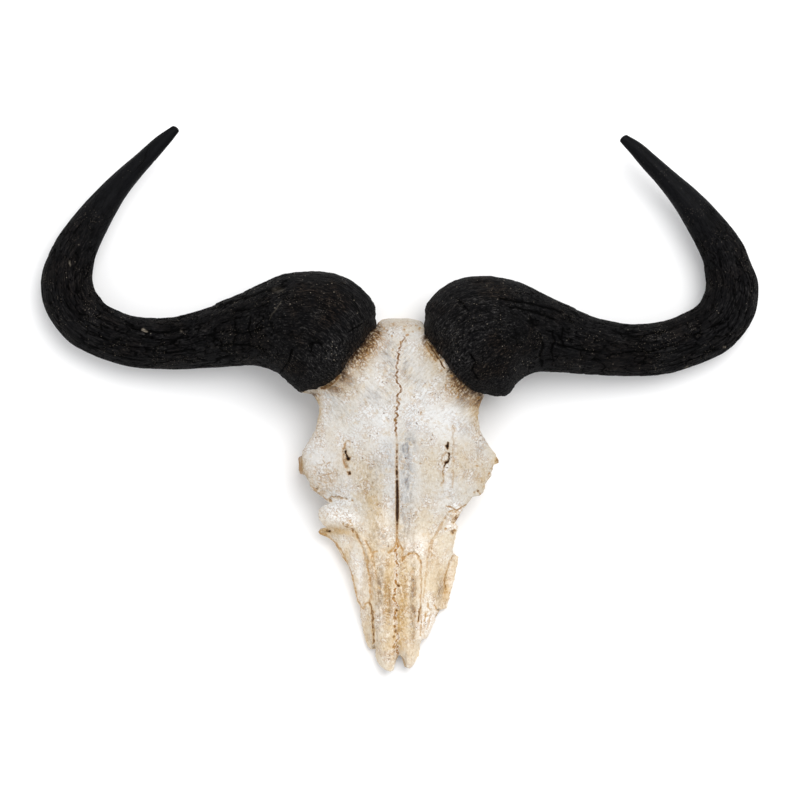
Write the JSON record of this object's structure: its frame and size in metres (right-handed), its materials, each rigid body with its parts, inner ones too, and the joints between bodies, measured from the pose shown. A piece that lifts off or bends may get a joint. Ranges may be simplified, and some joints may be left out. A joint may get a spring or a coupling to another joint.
{
  "type": "blue wildebeest skull plate",
  "caption": "Sun-bleached upper skull plate of a blue wildebeest with its black curved horns, lying face up on its sawn back.",
  "frame": {"origin": "on the sawn back under the middle of the object's outline seen from the front, on the skull's middle line to within 2 mm", "axes": "+Z out of the forehead, away from the sawn back; +Y from the nose tips towards the poll; +X to the right as one looks at the face"},
  "size_m": [0.6452, 0.4921, 0.101],
  "materials": {
    "bone": "matt, dry and porous weathered bone, cream white with tan and grey stains",
    "horn": "near black ridged and cracked horn with a low sheen"
  },
  "bodies": {
    "root": {"skull_plate": "bone", "horn_left": "horn", "horn_right": "horn"}
  },
  "joints": []
}
